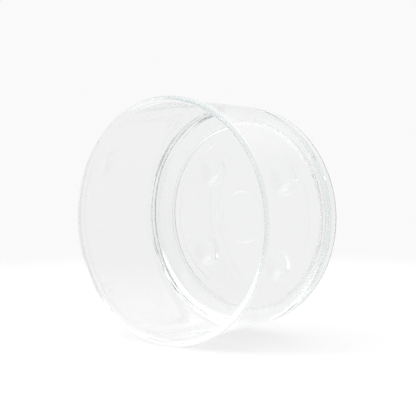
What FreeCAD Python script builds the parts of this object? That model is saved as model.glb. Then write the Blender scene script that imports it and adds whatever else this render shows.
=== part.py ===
import FreeCAD, Part
import math
import os

# Crystallizing dish: a heavy pressed-glass dish, 80 mm across the lip and 46 mm high.
# It stands on its base on Z = 0 with its axis on Z and its mouth up. Units are millimetres.
# The real dish is one moulded body. Here it is cut face to face into its named zones.

# Driving dimensions of the whole dish
RIM_DIAMETER = 80.0
HEIGHT = 46.0
WALL_THICKNESS = 1.1
BEAD_OVERHANG = 0.9  # how far the lip's bead stands out past the wall
WALL_DRAFT = 0.65  # how much the outer wall narrows down to the base, in radius
FLOOR_TOP = 7.5  # height of the inner floor above the standing plane

# Lip
BEAD_HEIGHT = 2.5  # from the bead's lower edge up to the top of the lip
BEAD_SLOPE = 0.6  # how much lower the bead meets the wall than its lower edge stands
LIP_INNER_ROUND = 0.95
LIP_OUTER_ROUND = 1.0
BEAD_ROUND = 0.9
BEAD_COVE = 0.6  # hollow rounding where the bead runs into the wall

# Heel, bevelled down to the ring that the dish stands on, and inner corner
BEVEL_HEIGHT = 3.4
BEVEL_FOOT_RADIUS = 32.6
HEEL_ROUND = 1.0
FOOT_ROUND = 0.3
INNER_FILLET = 4.0

# Underside: a narrow flat standing ring, a steep step up to a shelf, and a slight step to the panel
RING_INNER_RADIUS = 31.9
SHELF_OUTER_RADIUS = 31.75
SHELF_INNER_RADIUS = 27.9
PANEL_RADIUS = 27.4
SHELF_HEIGHT = 2.2
PANEL_HEIGHT = 2.4
RING_ROUND = 0.15
SHELF_ROUND = 0.25
PANEL_ROUND = 0.2

# Pips and mould mark under the panel; their pattern is turned and sits a little off the axis
PATTERN_SHIFT_X = -1.0
BUMP_COUNT = 4
BUMP_DIAMETER = 11.2
BUMP_HEIGHT = 1.2
BUMP_CIRCLE_RADIUS = 20.5
BUMP_FIRST_ANGLE = 39.0
MARK_RADIUS = 9.0
MARK_WIDTH = 1.2
MARK_HEIGHT = 0.15

# Heights where one zone of the glass ends and the next begins
BEAD_ZONE_FOOT = 42.3
WALL_ZONE_FOOT = 12.5

# Derived sizes
RIM_RADIUS = RIM_DIAMETER / 2
BEAD_EDGE = HEIGHT - BEAD_HEIGHT
BEAD_FOOT = BEAD_EDGE - BEAD_SLOPE
WALL_OUTER_TOP = RIM_RADIUS - BEAD_OVERHANG
WALL_OUTER_LOW = WALL_OUTER_TOP - WALL_DRAFT
WALL_INNER = WALL_OUTER_TOP - WALL_THICKNESS
FLOOR_EDGE = WALL_INNER - INNER_FILLET

AXIS_FOOT = FreeCAD.Vector(0, 0, 0)
AXIS_UP = FreeCAD.Vector(0, 0, 1)

# The glass's half section: radius, height, and how far each corner is rounded
OUTLINE = [
    (0, FLOOR_TOP, 0),
    (WALL_INNER, FLOOR_TOP, INNER_FILLET),
    (WALL_INNER, HEIGHT, LIP_INNER_ROUND),
    (RIM_RADIUS, HEIGHT, LIP_OUTER_ROUND),
    (RIM_RADIUS, BEAD_EDGE, BEAD_ROUND),
    (WALL_OUTER_TOP, BEAD_FOOT, BEAD_COVE),
    (WALL_OUTER_LOW, BEVEL_HEIGHT, HEEL_ROUND),
    (BEVEL_FOOT_RADIUS, 0, FOOT_ROUND),
    (RING_INNER_RADIUS, 0, RING_ROUND),
    (SHELF_OUTER_RADIUS, SHELF_HEIGHT, SHELF_ROUND),
    (SHELF_INNER_RADIUS, SHELF_HEIGHT, PANEL_ROUND),
    (PANEL_RADIUS, PANEL_HEIGHT, PANEL_ROUND),
    (0, PANEL_HEIGHT, 0),
]


def point(radius, height):
    """A point of the half section: its radius from the axis, and its height."""
    return FreeCAD.Vector(radius, 0, height)


def direction(start, end):
    return (end - start).normalize()


def corner_round(before, corner, after, radius):
    """Start, middle and end of the arc that rounds a corner of an outline."""
    if radius == 0:
        return (corner, corner, corner)
    back = direction(corner, before)
    ahead = direction(corner, after)
    half_angle = back.getAngle(ahead) / 2
    reach = radius / math.tan(half_angle)
    inward = (back + ahead).normalize()
    middle = corner + inward * (radius / math.sin(half_angle) - radius)
    return (corner + back * reach, middle, corner + ahead * reach)


def rounded_face(outline):
    """The flat face inside a closed outline, with its corners rounded."""
    places = [point(radius, height) for radius, height, rounding in outline]
    count = len(outline)
    rounds = []
    for index in range(count):
        neighbours = (places[index - 1], places[index], places[(index + 1) % count])
        rounds.append(corner_round(*neighbours, outline[index][2]))
    edges = []
    for index in range(count):
        start, middle, end = rounds[index]
        if start != end:
            edges.append(Part.Arc(start, middle, end).toShape())
        edges.append(Part.LineSegment(end, rounds[(index + 1) % count][0]).toShape())
    return Part.Face(Part.Wire(edges))


def turned(face):
    """A half section turned once round the dish's axis."""
    return face.revolve(AXIS_FOOT, AXIS_UP, 360)


def zone(inner, outer, low, high):
    """The ring or disc of glass between two radii and two heights."""
    window = [(inner, low, 0), (outer, low, 0), (outer, high, 0), (inner, high, 0)]
    return turned(rounded_face(OUTLINE).common(rounded_face(window)).Faces[0])


def make_rim_bead():
    """The lip: thicker than the wall, rounded on top, with its bead standing out of the wall."""
    return zone(0, RIM_DIAMETER, BEAD_ZONE_FOOT, RIM_DIAMETER)


def make_side_wall():
    """The wall between the heel and the bead: straight inside, slightly tapered outside."""
    return zone(0, RIM_DIAMETER, WALL_ZONE_FOOT, BEAD_ZONE_FOOT)


def make_base_heel():
    """The heavy corner between wall and floor: bevelled outside, filleted inside."""
    return zone(FLOOR_EDGE, RIM_DIAMETER, PANEL_HEIGHT, WALL_ZONE_FOOT)


def make_floor_disc():
    """The thick floor inside the heel, above the underside's panel."""
    return zone(0, FLOOR_EDGE, PANEL_HEIGHT, WALL_ZONE_FOOT)


def make_standing_ring():
    """The flat ring that the dish stands on, with the steps up to the panel inside it."""
    return zone(0, RIM_DIAMETER, -HEIGHT, PANEL_HEIGHT)


def make_base_bump(number):
    """One shallow domed pip under the panel; it stays above the standing plane."""
    half = BUMP_DIAMETER / 2
    dome = (half**2 + BUMP_HEIGHT**2) / (2 * BUMP_HEIGHT)
    tip = PANEL_HEIGHT - BUMP_HEIGHT
    tilt = math.asin(half / dome) / 2
    edge = point(half, PANEL_HEIGHT)
    flank = point(dome * math.sin(tilt), tip + dome - dome * math.cos(tilt))
    middle = point(0, PANEL_HEIGHT)
    edges = [
        Part.LineSegment(middle, edge).toShape(),
        Part.Arc(edge, flank, point(0, tip)).toShape(),
        Part.LineSegment(point(0, tip), middle).toShape(),
    ]
    pip = turned(Part.Face(Part.Wire(edges)))
    pip.translate(point(BUMP_CIRCLE_RADIUS, 0))
    pip.rotate(AXIS_FOOT, AXIS_UP, BUMP_FIRST_ANGLE + number * 360 / BUMP_COUNT)
    pip.translate(point(PATTERN_SHIFT_X, 0))
    return pip


def make_mould_mark():
    """The low raised circle left by the mould in the middle of the pips."""
    inner = point(MARK_RADIUS - MARK_WIDTH / 2, PANEL_HEIGHT)
    outer = point(MARK_RADIUS + MARK_WIDTH / 2, PANEL_HEIGHT)
    crest = point(MARK_RADIUS, PANEL_HEIGHT - MARK_HEIGHT)
    edges = [
        Part.LineSegment(inner, outer).toShape(),
        Part.Arc(outer, crest, inner).toShape(),
    ]
    mark = turned(Part.Face(Part.Wire(edges)))
    mark.translate(point(PATTERN_SHIFT_X, 0))
    return mark


nodes = {
    "rim_bead": make_rim_bead(),
    "side_wall": make_side_wall(),
    "base_heel": make_base_heel(),
    "floor_disc": make_floor_disc(),
    "standing_ring": make_standing_ring(),
    "mould_mark": make_mould_mark(),
}
for number in range(BUMP_COUNT):
    nodes[f"base_bump_{number + 1}"] = make_base_bump(number)

os.makedirs("parts", exist_ok=True)
for name, shape in nodes.items():
    shape.exportStep(f"parts/{name}.step")
    print(f"{name}: {len(shape.Solids)} solid, valid {shape.isValid()}, {shape.Volume:.1f} mm3")
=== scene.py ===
import math

import bpy
from mathutils import Matrix, Vector


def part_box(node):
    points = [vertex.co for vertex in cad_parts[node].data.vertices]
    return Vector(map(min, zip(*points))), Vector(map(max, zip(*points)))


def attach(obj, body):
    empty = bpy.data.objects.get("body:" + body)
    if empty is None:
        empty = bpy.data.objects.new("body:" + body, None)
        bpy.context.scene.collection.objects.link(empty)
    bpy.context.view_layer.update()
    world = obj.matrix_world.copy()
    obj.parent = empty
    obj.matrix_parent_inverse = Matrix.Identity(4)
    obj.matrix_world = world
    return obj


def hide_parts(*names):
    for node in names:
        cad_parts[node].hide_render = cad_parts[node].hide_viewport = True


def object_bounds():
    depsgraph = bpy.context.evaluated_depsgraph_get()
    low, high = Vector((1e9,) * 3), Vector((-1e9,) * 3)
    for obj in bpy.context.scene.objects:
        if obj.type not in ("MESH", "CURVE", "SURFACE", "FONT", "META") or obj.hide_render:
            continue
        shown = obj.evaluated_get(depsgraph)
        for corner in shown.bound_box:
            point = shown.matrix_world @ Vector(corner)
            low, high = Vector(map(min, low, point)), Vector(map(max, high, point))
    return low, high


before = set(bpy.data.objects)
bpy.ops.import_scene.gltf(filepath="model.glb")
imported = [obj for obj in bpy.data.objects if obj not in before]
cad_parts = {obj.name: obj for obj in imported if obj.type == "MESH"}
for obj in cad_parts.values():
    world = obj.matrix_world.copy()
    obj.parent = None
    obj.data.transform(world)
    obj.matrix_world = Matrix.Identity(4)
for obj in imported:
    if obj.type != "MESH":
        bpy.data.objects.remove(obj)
cad_low, cad_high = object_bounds()

# Everything is in metres. MM turns a size in millimetres into metres.
MM = 0.001

# Sizes that the CAD frame states
RIM_RADIUS = cad_high.x
HEIGHT = cad_high.z
PANEL_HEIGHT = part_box("floor_disc")[0].z
FLOOR_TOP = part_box("floor_disc")[1].z
WALL_OUTER_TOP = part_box("side_wall")[1].x
BUMPS = [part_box(f"base_bump_{number}") for number in range(1, 5)]
MARK_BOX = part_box("mould_mark")

# Sizes of the section that the frame's boxes don't give, as in the design
WALL_THICKNESS = 1.1 * MM
WALL_DRAFT = 0.65 * MM
BEAD_HEIGHT = 2.5 * MM
BEAD_SLOPE = 0.6 * MM
LIP_INNER_ROUND = 0.95 * MM
LIP_OUTER_ROUND = 1.0 * MM
BEAD_ROUND = 0.9 * MM
BEAD_COVE = 0.6 * MM
BEVEL_HEIGHT = 3.4 * MM
BEVEL_FOOT_RADIUS = 32.6 * MM
HEEL_ROUND = 1.0 * MM
FOOT_ROUND = 0.3 * MM
INNER_FILLET = 4.0 * MM
RING_INNER_RADIUS = 31.9 * MM
SHELF_OUTER_RADIUS = 31.75 * MM
SHELF_INNER_RADIUS = 27.9 * MM
PANEL_RADIUS = 27.4 * MM
SHELF_HEIGHT = 2.2 * MM
RING_ROUND = 0.15 * MM
SHELF_ROUND = 0.25 * MM
PANEL_ROUND = 0.2 * MM
MARK_WIDTH = 1.2 * MM

WALL_INNER = WALL_OUTER_TOP - WALL_THICKNESS
WALL_OUTER_LOW = WALL_OUTER_TOP - WALL_DRAFT
BEAD_EDGE = HEIGHT - BEAD_HEIGHT
MARK_RADIUS = (MARK_BOX[1].x - MARK_BOX[0].x - MARK_WIDTH) / 2
MARK_MIDDLE = (MARK_BOX[0] + MARK_BOX[1]) / 2
MARK_RISE = MARK_BOX[1].z - MARK_BOX[0].z

# How finely the glass's surface is divided
TURN_STEPS = 288
STRAIGHT_STEP = 1.0 * MM
PANEL_STEP = 0.3 * MM
ARC_STEP = math.radians(6)

# The glass: how it bends light, how many times light may bounce in it, the colour that thick glass
# takes and how quickly, how strongly and how deep its surface ripples in rings and swells all over,
# how many ripples, swells and scratches it has per metre, and at what heights its foot is worn
GLASS_IOR = 1.52
GLASS_BOUNCES = 128
GLASS_TINT = (0.6, 0.84, 0.84, 1)
GLASS_DENSITY = 2.5
RING_WAVE = 0.5
RING_DEPTH = 0.05 * MM
RING_SPACING = (12, 12, 700)
SWELL_WAVE = 0.1
SWELL_DEPTH = 0.2 * MM
SWELL_SPACING = (110, 110, 110)
SCRATCH_SPACING = (2500, 2500, 2500)
WORN_FULLY_BELOW = 0.02 * MM
WORN_NOT_ABOVE = 0.25 * MM


def outline():
    """The glass's half section as corners: radius, height, and how far the corner is rounded."""
    return [
        (0, FLOOR_TOP, 0),
        (WALL_INNER, FLOOR_TOP, INNER_FILLET),
        (WALL_INNER, HEIGHT, LIP_INNER_ROUND),
        (RIM_RADIUS, HEIGHT, LIP_OUTER_ROUND),
        (RIM_RADIUS, BEAD_EDGE, BEAD_ROUND),
        (WALL_OUTER_TOP, BEAD_EDGE - BEAD_SLOPE, BEAD_COVE),
        (WALL_OUTER_LOW, BEVEL_HEIGHT, HEEL_ROUND),
        (BEVEL_FOOT_RADIUS, 0, FOOT_ROUND),
        (RING_INNER_RADIUS, 0, RING_ROUND),
        (SHELF_OUTER_RADIUS, SHELF_HEIGHT, SHELF_ROUND),
        (SHELF_INNER_RADIUS, SHELF_HEIGHT, PANEL_ROUND),
        (PANEL_RADIUS, PANEL_HEIGHT, PANEL_ROUND),
        (0, PANEL_HEIGHT, 0),
    ]


def rounded_corner(before, corner, after, radius):
    """Points along the arc that rounds a corner of the outline."""
    into = (before - corner).normalized()
    out = (after - corner).normalized()
    half_angle = into.angle(out) / 2
    reach = radius / math.tan(half_angle)
    start, end = corner + into * reach, corner + out * reach
    centre = corner + (into + out).normalized() * radius / math.sin(half_angle)
    sweep = (start - centre).angle_signed(end - centre)
    count = max(2, round(abs(sweep) / ARC_STEP))
    turns = [Matrix.Rotation(-sweep * i / count, 2) for i in range(count + 1)]
    return [centre + turn @ (start - centre) for turn in turns]


def section():
    """The half section as points, from the middle of the floor round to the middle of the underside."""
    corners = outline()
    places = [Vector(corner[:2]) for corner in corners]
    arcs = [[places[0]]]
    for index in range(1, len(corners) - 1):
        near = places[index - 1:index + 2]
        arcs.append(rounded_corner(*near, corners[index][2]))
    arcs.append([places[-1]])
    points = []
    for arc, after in zip(arcs, arcs[1:] + [None]):
        points += arc
        if after:
            gap = after[0] - arc[-1]
            step = PANEL_STEP if after is arcs[-1] else STRAIGHT_STEP
            count = max(1, round(gap.length / step))
            points += [arc[-1] + gap * i / count for i in range(1, count)]
    return points


def underside_relief(x, y):
    """How far the pips and the mould mark stand down from the recessed panel at a point."""
    for low, high in BUMPS:
        half = (high.x - low.x) / 2
        away = math.hypot(x - (low.x + high.x) / 2, y - (low.y + high.y) / 2)
        if away < half:
            rise = high.z - low.z
            dome = (half**2 + rise**2) / (2 * rise)
            return math.sqrt(dome**2 - away**2) - (dome - rise)
    off_ring = abs(math.hypot(x - MARK_MIDDLE.x, y - MARK_MIDDLE.y) - MARK_RADIUS) / (MARK_WIDTH / 2)
    return MARK_RISE * (1 - off_ring**2) if off_ring < 1 else 0.0


def make_dish():
    """The whole glass body as one closed surface, turned from its section."""
    points = section()
    verts = [(0, 0, points[0].y)]
    for radius, height in points[1:-1]:
        on_panel = math.isclose(height, PANEL_HEIGHT, abs_tol=1e-7)
        for step in range(TURN_STEPS):
            angle = 2 * math.pi * step / TURN_STEPS
            x, y = radius * math.cos(angle), radius * math.sin(angle)
            drop = underside_relief(x, y) if on_panel else 0.0
            verts.append((x, y, height - drop))
    verts.append((0, 0, points[-1].y))
    last = len(verts) - 1
    faces = []
    for step in range(TURN_STEPS):
        near, after = step, (step + 1) % TURN_STEPS
        faces.append((0, 1 + near, 1 + after))
        faces.append((last, last - TURN_STEPS + after, last - TURN_STEPS + near))
        for ring in range(1, last - TURN_STEPS, TURN_STEPS):
            a, b = ring + near, ring + after
            faces.append((a, a + TURN_STEPS, b + TURN_STEPS, b))
    mesh = bpy.data.meshes.new("dish_glass")
    mesh.from_pydata(verts, [], faces)
    mesh.shade_smooth()
    dish = bpy.data.objects.new("dish_glass", mesh)
    bpy.context.scene.collection.objects.link(dish)
    return dish


def stretched_noise(tree, place, stretch, detail):
    """Noise over the dish, with its own stretch along X, Y and Z, in features per metre."""
    scale = tree.nodes.new("ShaderNodeVectorMath")
    scale.operation = "MULTIPLY"
    scale.inputs[1].default_value = stretch
    tree.links.new(place, scale.inputs[0])
    noise = tree.nodes.new("ShaderNodeTexNoise")
    noise.inputs["Scale"].default_value = 1.0
    noise.inputs["Detail"].default_value = detail
    tree.links.new(scale.outputs[0], noise.inputs["Vector"])
    return noise.outputs["Fac"]


def bump(tree, height, strength, distance):
    """A bump node that reads a height."""
    node = tree.nodes.new("ShaderNodeBump")
    node.inputs["Strength"].default_value = strength
    node.inputs["Distance"].default_value = distance
    tree.links.new(height, node.inputs["Height"])
    return node


def clear_glass():
    """Pressed glass: faintly blue-green, slightly wavy in rings round the wall, scuffed where it stands."""
    material = bpy.data.materials.new("clear_glass")
    material.use_nodes = True
    tree = material.node_tree
    shader = tree.nodes["Principled BSDF"]
    shader.inputs["Base Color"].default_value = (1, 1, 1, 1)
    shader.inputs["IOR"].default_value = GLASS_IOR
    shader.inputs["Transmission Weight"].default_value = 1.0
    place = tree.nodes.new("ShaderNodeTexCoord").outputs["Object"]

    rings = stretched_noise(tree, place, RING_SPACING, 2)
    rippled = bump(tree, rings, RING_WAVE, RING_DEPTH)
    swells = stretched_noise(tree, place, SWELL_SPACING, 1)
    swollen = bump(tree, swells, SWELL_WAVE, SWELL_DEPTH)
    tree.links.new(rippled.outputs["Normal"], swollen.inputs["Normal"])
    tree.links.new(swollen.outputs["Normal"], shader.inputs["Normal"])

    height = tree.nodes.new("ShaderNodeSeparateXYZ")
    tree.links.new(place, height.inputs[0])
    worn = tree.nodes.new("ShaderNodeMapRange")
    worn.inputs["From Min"].default_value = WORN_NOT_ABOVE
    worn.inputs["From Max"].default_value = WORN_FULLY_BELOW
    tree.links.new(height.outputs["Z"], worn.inputs["Value"])
    scratches = stretched_noise(tree, place, SCRATCH_SPACING, 4)
    scuff = tree.nodes.new("ShaderNodeMath")
    scuff.operation = "MULTIPLY"
    tree.links.new(worn.outputs["Result"], scuff.inputs[0])
    tree.links.new(scratches, scuff.inputs[1])
    tree.links.new(scuff.outputs[0], shader.inputs["Roughness"])

    absorb = tree.nodes.new("ShaderNodeVolumeAbsorption")
    absorb.inputs["Color"].default_value = GLASS_TINT
    absorb.inputs["Density"].default_value = GLASS_DENSITY
    tree.links.new(absorb.outputs[0], tree.nodes["Material Output"].inputs["Volume"])
    return material


# The camera, in the frame of the dish lying on its side: X from the mouth plane to the base,
# Z up, the axis at Z = 0. turn_to_row puts a point of that frame into the row frame.
CAMERA_PLACE = Vector((-0.2176, -0.1866, 0.0179))
CAMERA_YAW = math.radians(52.17)
CAMERA_PITCH = math.radians(-2.72)
CAMERA_LENS = 77.9
CAMERA_SENSOR = 36


def turn_to_row(vector):
    """A direction of the lying dish's frame, in the row frame."""
    return Vector((vector.y, -vector.z, -vector.x))


def make_camera():
    """The camera that looks into the mouth of the dish from beside it."""
    forward = Vector((
        math.sin(CAMERA_YAW) * math.cos(CAMERA_PITCH),
        math.cos(CAMERA_YAW) * math.cos(CAMERA_PITCH),
        math.sin(CAMERA_PITCH),
    ))
    right = Vector((math.cos(CAMERA_YAW), -math.sin(CAMERA_YAW), 0))
    up = right.cross(forward)
    turned = [turn_to_row(v) for v in (right, up, -forward)]
    data = bpy.data.cameras.new("camera")
    data.lens = CAMERA_LENS
    data.sensor_width = CAMERA_SENSOR
    camera = bpy.data.objects.new("camera", data)
    bpy.context.scene.collection.objects.link(camera)
    place = turn_to_row(CAMERA_PLACE) + Vector((0, 0, HEIGHT))
    camera.matrix_world = Matrix.Translation(place) @ Matrix(turned).transposed().to_4x4()
    bpy.context.scene.camera = camera


def direction(azimuth, elevation):
    """The row-frame direction of an azimuth and elevation given in the lying dish's frame."""
    level = math.cos(elevation)
    lying = (math.cos(azimuth) * level, math.sin(azimuth) * level, math.sin(elevation))
    return turn_to_row(Vector(lying))


def lobe(tree, azimuth, elevation, inner, outer):
    """A soft round patch of sky: 1 within the inner angle of its middle, 0 beyond the outer one."""
    place = tree.nodes.new("ShaderNodeTexCoord")
    dot = tree.nodes.new("ShaderNodeVectorMath")
    dot.operation = "DOT_PRODUCT"
    dot.inputs[1].default_value = direction(math.radians(azimuth), math.radians(elevation))
    tree.links.new(place.outputs["Generated"], dot.inputs[0])
    ramp = tree.nodes.new("ShaderNodeMapRange")
    ramp.interpolation_type = "SMOOTHSTEP"
    ramp.inputs["From Min"].default_value = math.cos(math.radians(outer))
    ramp.inputs["From Max"].default_value = math.cos(math.radians(inner))
    tree.links.new(dot.outputs["Value"], ramp.inputs["Value"])
    return ramp.outputs["Result"]


# The plain white that the camera sees beyond the table
PLAIN_WHITE = (0.95, 0.95, 0.95, 1)

# The low sun, in the lying dish's frame: where it stands, how strong it is and how wide it looks
SUN_AZIMUTH = math.radians(135)
SUN_ELEVATION = math.radians(22)
SUN_STRENGTH = 1.2
SUN_WIDTH = math.radians(14)

# The table: how far it lies below the lip, its half width, where it fades out, how much light it
# scatters and how much it glows by itself
TABLE_GAP = 0.05 * MM
TABLE_HALF_WIDTH = 3.0
TABLE_FADE_START = 0.08
TABLE_FADE_END = 0.3
TABLE_COLOUR = (0.3, 0.3, 0.3, 1)
TABLE_ROUGHNESS = 0.6
TABLE_GLOW = 0.7

# The studio's sky: an even backdrop with soft round patches painted one over the other, each in the
# lying dish's frame with its azimuth, elevation, where it starts to fade, where it ends, and colour
BACKDROP = (0.88, 0.88, 0.88)
DARK = (0.02, 0.025, 0.035)
LAMP = (1.6, 1.6, 1.6)
STRONG_LAMP = (3.0, 3.0, 3.0)
PATCHES = [
    (0, 90, 25, 65, LAMP),
    (128, 40, 10, 30, STRONG_LAMP),
    (-140, 12, 35, 62, DARK),
]


def paint(tree, sky, colour, share):
    """Lays a patch's colour over the sky so far by its share; the first patch lies on the backdrop."""
    mix = tree.nodes.new("ShaderNodeMix")
    mix.data_type = "RGBA"
    mix.inputs["A"].default_value = (*BACKDROP, 1)
    if sky:
        tree.links.new(sky, mix.inputs["A"])
    mix.inputs["B"].default_value = (*colour, 1)
    tree.links.new(share, mix.inputs["Factor"])
    return mix.outputs["Result"]


def make_world():
    """The studio's sky, which only the glass and the table see; the camera sees plain white."""
    world = bpy.data.worlds.new("studio")
    bpy.context.scene.world = world
    world.use_nodes = True
    tree = world.node_tree
    back = tree.nodes["Background"]
    sky = None
    for azimuth, elevation, inner, outer, colour in PATCHES:
        sky = paint(tree, sky, colour, lobe(tree, azimuth, elevation, inner, outer))
    tree.links.new(sky, back.inputs["Color"])
    plain = tree.nodes.new("ShaderNodeBackground")
    plain.inputs["Color"].default_value = PLAIN_WHITE
    seen = tree.nodes.new("ShaderNodeLightPath")
    mix = tree.nodes.new("ShaderNodeMixShader")
    tree.links.new(seen.outputs["Is Camera Ray"], mix.inputs[0])
    tree.links.new(back.outputs[0], mix.inputs[1])
    tree.links.new(plain.outputs[0], mix.inputs[2])
    tree.links.new(mix.outputs[0], tree.nodes["World Output"].inputs["Surface"])


def make_table():
    """The white table beside the lying dish; it fades out away from the dish."""
    half = TABLE_HALF_WIDTH
    corners = [(-half, -half), (half, -half), (half, half), (-half, half)]
    mesh = bpy.data.meshes.new("table")
    mesh.from_pydata([(x, RIM_RADIUS + TABLE_GAP, z) for x, z in corners], [], [(0, 1, 2, 3)])
    table = bpy.data.objects.new("table", mesh)
    bpy.context.scene.collection.objects.link(table)
    table.visible_transmission = False
    table.visible_glossy = False
    material = bpy.data.materials.new("table")
    material.use_nodes = True
    tree = material.node_tree
    paper = tree.nodes["Principled BSDF"]
    paper.inputs["Base Color"].default_value = TABLE_COLOUR
    paper.inputs["Roughness"].default_value = TABLE_ROUGHNESS
    paper.inputs["Specular IOR Level"].default_value = 0.0
    paper.inputs["Emission Color"].default_value = (1, 1, 1, 1)
    paper.inputs["Emission Strength"].default_value = TABLE_GLOW
    clear = tree.nodes.new("ShaderNodeBsdfTransparent")
    place = tree.nodes.new("ShaderNodeTexCoord")
    away = tree.nodes.new("ShaderNodeVectorMath")
    away.operation = "LENGTH"
    tree.links.new(place.outputs["Object"], away.inputs[0])
    fade = tree.nodes.new("ShaderNodeMapRange")
    fade.interpolation_type = "SMOOTHSTEP"
    fade.inputs["From Min"].default_value = TABLE_FADE_START
    fade.inputs["From Max"].default_value = TABLE_FADE_END
    tree.links.new(away.outputs["Value"], fade.inputs["Value"])
    behind = tree.nodes.new("ShaderNodeNewGeometry")
    most = tree.nodes.new("ShaderNodeMath")
    most.operation = "MAXIMUM"
    tree.links.new(fade.outputs["Result"], most.inputs[0])
    tree.links.new(behind.outputs["Backfacing"], most.inputs[1])
    mix = tree.nodes.new("ShaderNodeMixShader")
    tree.links.new(most.outputs[0], mix.inputs[0])
    tree.links.new(paper.outputs[0], mix.inputs[1])
    tree.links.new(clear.outputs[0], mix.inputs[2])
    tree.links.new(mix.outputs[0], tree.nodes["Material Output"].inputs["Surface"])
    mesh.materials.append(material)


def make_low_sun():
    """A wide, weak, low light for the dish's soft shadow on the table; the glass doesn't show it."""
    data = bpy.data.lights.new("low_sun", "SUN")
    data.energy = SUN_STRENGTH
    data.angle = SUN_WIDTH
    sun = bpy.data.objects.new("low_sun", data)
    bpy.context.scene.collection.objects.link(sun)
    towards = direction(SUN_AZIMUTH, SUN_ELEVATION)
    sun.rotation_euler = towards.to_track_quat("Z", "Y").to_euler()
    sun.visible_glossy = False
    sun.visible_transmission = False


make_camera()
make_world()
make_low_sun()
make_table()
dish = make_dish()
dish.data.materials.append(clear_glass())
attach(dish, "root")
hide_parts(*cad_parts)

scene = bpy.context.scene
scene.view_settings.view_transform = "Standard"
scene.cycles.max_bounces = GLASS_BOUNCES
scene.cycles.transmission_bounces = GLASS_BOUNCES
scene.cycles.glossy_bounces = GLASS_BOUNCES
